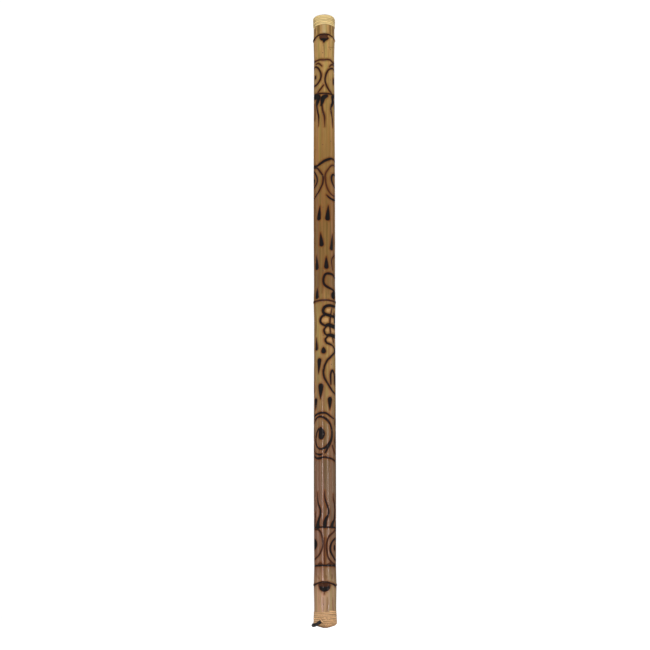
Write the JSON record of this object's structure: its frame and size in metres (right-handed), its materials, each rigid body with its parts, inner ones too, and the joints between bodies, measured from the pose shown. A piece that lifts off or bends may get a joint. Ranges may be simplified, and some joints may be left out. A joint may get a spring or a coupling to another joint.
{
  "type": "rainstick",
  "caption": "Long bamboo tube with burnt decoration, cane-bound closed ends and a short cord loop; pebbles inside run down through crossed pins and sound like rain.",
  "frame": {"origin": "on the culm's axis, at the lowest point of the bottom end", "axes": "+Z along the stick to its top end; -Y is the front, with the bud scars of the first and last node; the hanging loop is on the -X side"},
  "size_m": [0.0488, 0.0508, 1.2192],
  "materials": {
    "bamboo": "burnt and lightly varnished bamboo",
    "cane": "split cane, dry and satin",
    "plug_wood": "turned softwood, unfinished",
    "pin_bamboo": "split bamboo, raw",
    "pebble": "small washed river pebbles",
    "black_cord": "black round cord, slightly waxed"
  },
  "bodies": {
    "stick": {"bamboo_culm": "bamboo", "hanging_loop": "black_cord", "bottom_plug": "plug_wood", "bottom_end_coil": "cane", "bottom_rim_edging": "cane", "bottom_lashing": "cane", "top_plug": "plug_wood", "top_end_coil": "cane", "top_rim_edging": "cane", "top_lashing": "cane", "pin_row_1": "pin_bamboo", "pin_row_2": "pin_bamboo", "pin_row_3": "pin_bamboo", "pin_row_4": "pin_bamboo", "pin_row_5": "pin_bamboo", "pin_row_6": "pin_bamboo", "pin_row_7": "pin_bamboo", "pin_row_8": "pin_bamboo"},
    "pebble_stack_1": {"pebbles_1": "pebble"},
    "pebble_stack_2": {"pebbles_2": "pebble"},
    "pebble_stack_3": {"pebbles_3": "pebble"},
    "pebble_stack_4": {"pebbles_4": "pebble"},
    "pebble_stack_5": {"pebbles_5": "pebble"},
    "pebble_stack_6": {"pebbles_6": "pebble"},
    "pebble_stack_7": {"pebbles_7": "pebble"},
    "pebble_stack_8": {"pebbles_8": "pebble"}
  },
  "joints": [
    {"name": "pebble_fall_1", "type": "slide", "parent": "stick", "child": "pebble_stack_1", "axis": [0, 0, 1], "range_m": [0, 1.106]},
    {"name": "pebble_fall_2", "type": "slide", "parent": "stick", "child": "pebble_stack_2", "axis": [0, 0, 1], "range_m": [0, 1.106]},
    {"name": "pebble_fall_3", "type": "slide", "parent": "stick", "child": "pebble_stack_3", "axis": [0, 0, 1], "range_m": [0, 1.106]},
    {"name": "pebble_fall_4", "type": "slide", "parent": "stick", "child": "pebble_stack_4", "axis": [0, 0, 1], "range_m": [0, 1.106]},
    {"name": "pebble_fall_5", "type": "slide", "parent": "stick", "child": "pebble_stack_5", "axis": [0, 0, 1], "range_m": [0, 1.106]},
    {"name": "pebble_fall_6", "type": "slide", "parent": "stick", "child": "pebble_stack_6", "axis": [0, 0, 1], "range_m": [0, 1.106]},
    {"name": "pebble_fall_7", "type": "slide", "parent": "stick", "child": "pebble_stack_7", "axis": [0, 0, 1], "range_m": [0, 1.106]},
    {"name": "pebble_fall_8", "type": "slide", "parent": "stick", "child": "pebble_stack_8", "axis": [0, 0, 1], "range_m": [0, 1.106]}
  ]
}
